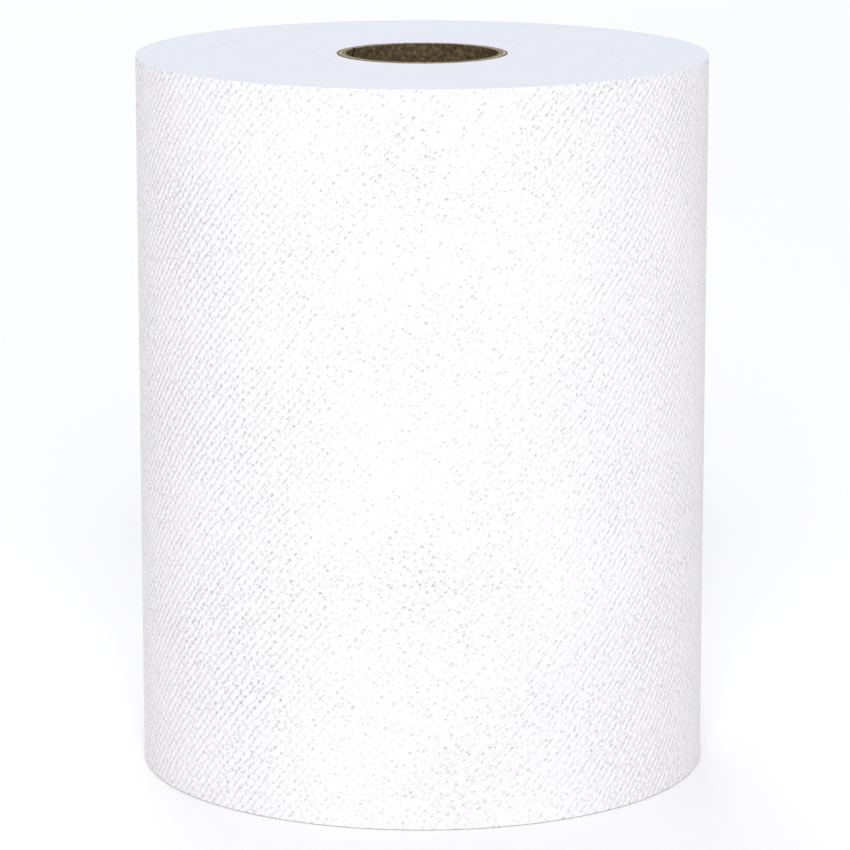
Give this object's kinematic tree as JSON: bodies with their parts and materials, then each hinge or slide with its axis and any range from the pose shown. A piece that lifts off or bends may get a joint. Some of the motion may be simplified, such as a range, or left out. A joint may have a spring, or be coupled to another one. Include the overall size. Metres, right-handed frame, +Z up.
{
  "type": "paper towel roll",
  "caption": "Roll of white embossed paper hand towel, wound hard on a brown spiral paperboard core with an open bore, standing on end.",
  "frame": {"origin": "centre of the end that the roll stands on", "axes": "+Z up the core's axis; the picture looks along +Y, and the web's loose end is on the +Y side"},
  "size_m": [0.1613, 0.1612, 0.2032],
  "materials": {
    "towel_paper": "matt white embossed tissue",
    "core_board": "matt brown paperboard"
  },
  "bodies": {
    "root": {"wound_towel": "towel_paper", "core_tube": "core_board"}
  },
  "joints": []
}
